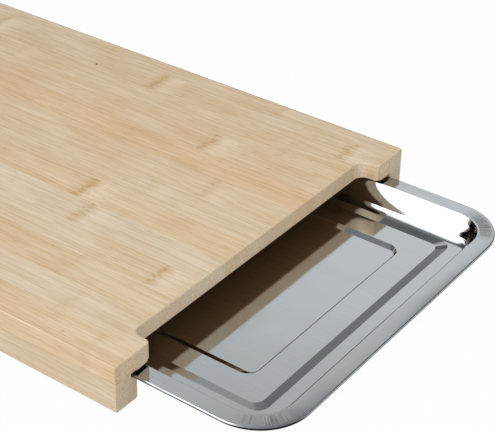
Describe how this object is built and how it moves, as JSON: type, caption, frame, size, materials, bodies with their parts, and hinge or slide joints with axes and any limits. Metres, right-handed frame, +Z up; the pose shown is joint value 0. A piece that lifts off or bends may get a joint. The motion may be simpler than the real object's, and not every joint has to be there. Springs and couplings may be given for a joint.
{
  "type": "bread board",
  "caption": "Bamboo bread board on rails, with a finger recess in its front edge and a pressed steel crumb tray that slides out from under it.",
  "frame": {"origin": "at table height, under the middle of the outline with the tray drawn out as in the picture", "axes": "+Z up, +Y along the board towards its closed rear end, so the tray pulls out towards -Y, +X to the right"},
  "size_m": [0.28, 0.469, 0.0305],
  "materials": {
    "bamboo": "sanded and lightly oiled, satin",
    "bamboo_rail": "sanded and lightly oiled, satin",
    "stainless_steel": "bright rolled sheet, nearly a mirror"
  },
  "bodies": {
    "board": {"panel_lath_01": "bamboo", "panel_lath_02": "bamboo", "panel_lath_03": "bamboo", "panel_lath_04": "bamboo", "panel_lath_05": "bamboo", "panel_lath_06": "bamboo", "panel_lath_07": "bamboo", "panel_lath_08": "bamboo", "panel_lath_09": "bamboo", "panel_lath_10": "bamboo", "panel_lath_11": "bamboo", "panel_lath_12": "bamboo", "panel_lath_13": "bamboo", "side_rail_left": "bamboo_rail", "side_rail_right": "bamboo_rail", "rear_rail": "bamboo_rail"},
    "tray": {"crumb_tray": "stainless_steel"}
  },
  "joints": [
    {"name": "tray_slide", "type": "slide", "parent": "board", "child": "tray", "axis": [0, -1, 0], "range_m": [-0.09, 0.272]}
  ]
}
